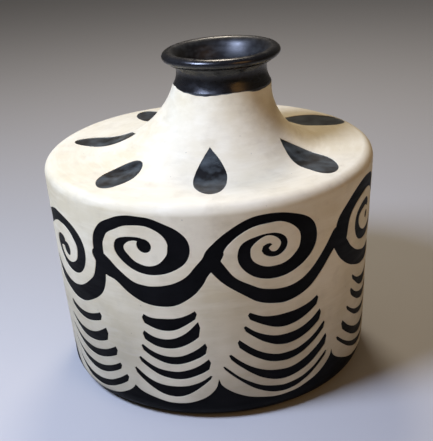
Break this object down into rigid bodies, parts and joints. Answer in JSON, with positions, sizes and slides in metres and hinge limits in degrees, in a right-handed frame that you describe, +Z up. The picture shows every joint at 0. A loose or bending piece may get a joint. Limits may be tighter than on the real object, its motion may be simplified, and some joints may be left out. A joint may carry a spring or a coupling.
{
  "type": "clay pot",
  "caption": "Wide drum-shaped clay pot with a nearly flat shoulder, a short flared neck that leans a little, a black collar and a rolled lip.",
  "frame": {"origin": "centre of the base, on the plane that the pot stands on", "axes": "+Z up along the axis of the drum, +X towards the side that the neck leans to, -Y towards the front"},
  "size_m": [0.24, 0.24, 0.2374],
  "materials": {
    "pale_slip": "matte cream slip, brushed and fired, with black painted figures",
    "black_clay": "reduction-fired black clay, burnished to a semi-gloss"
  },
  "bodies": {
    "root": {"foot_base": "black_clay", "body_wall": "pale_slip", "shoulder": "pale_slip", "neck": "pale_slip", "collar": "black_clay", "lip_roll": "black_clay"}
  },
  "joints": []
}
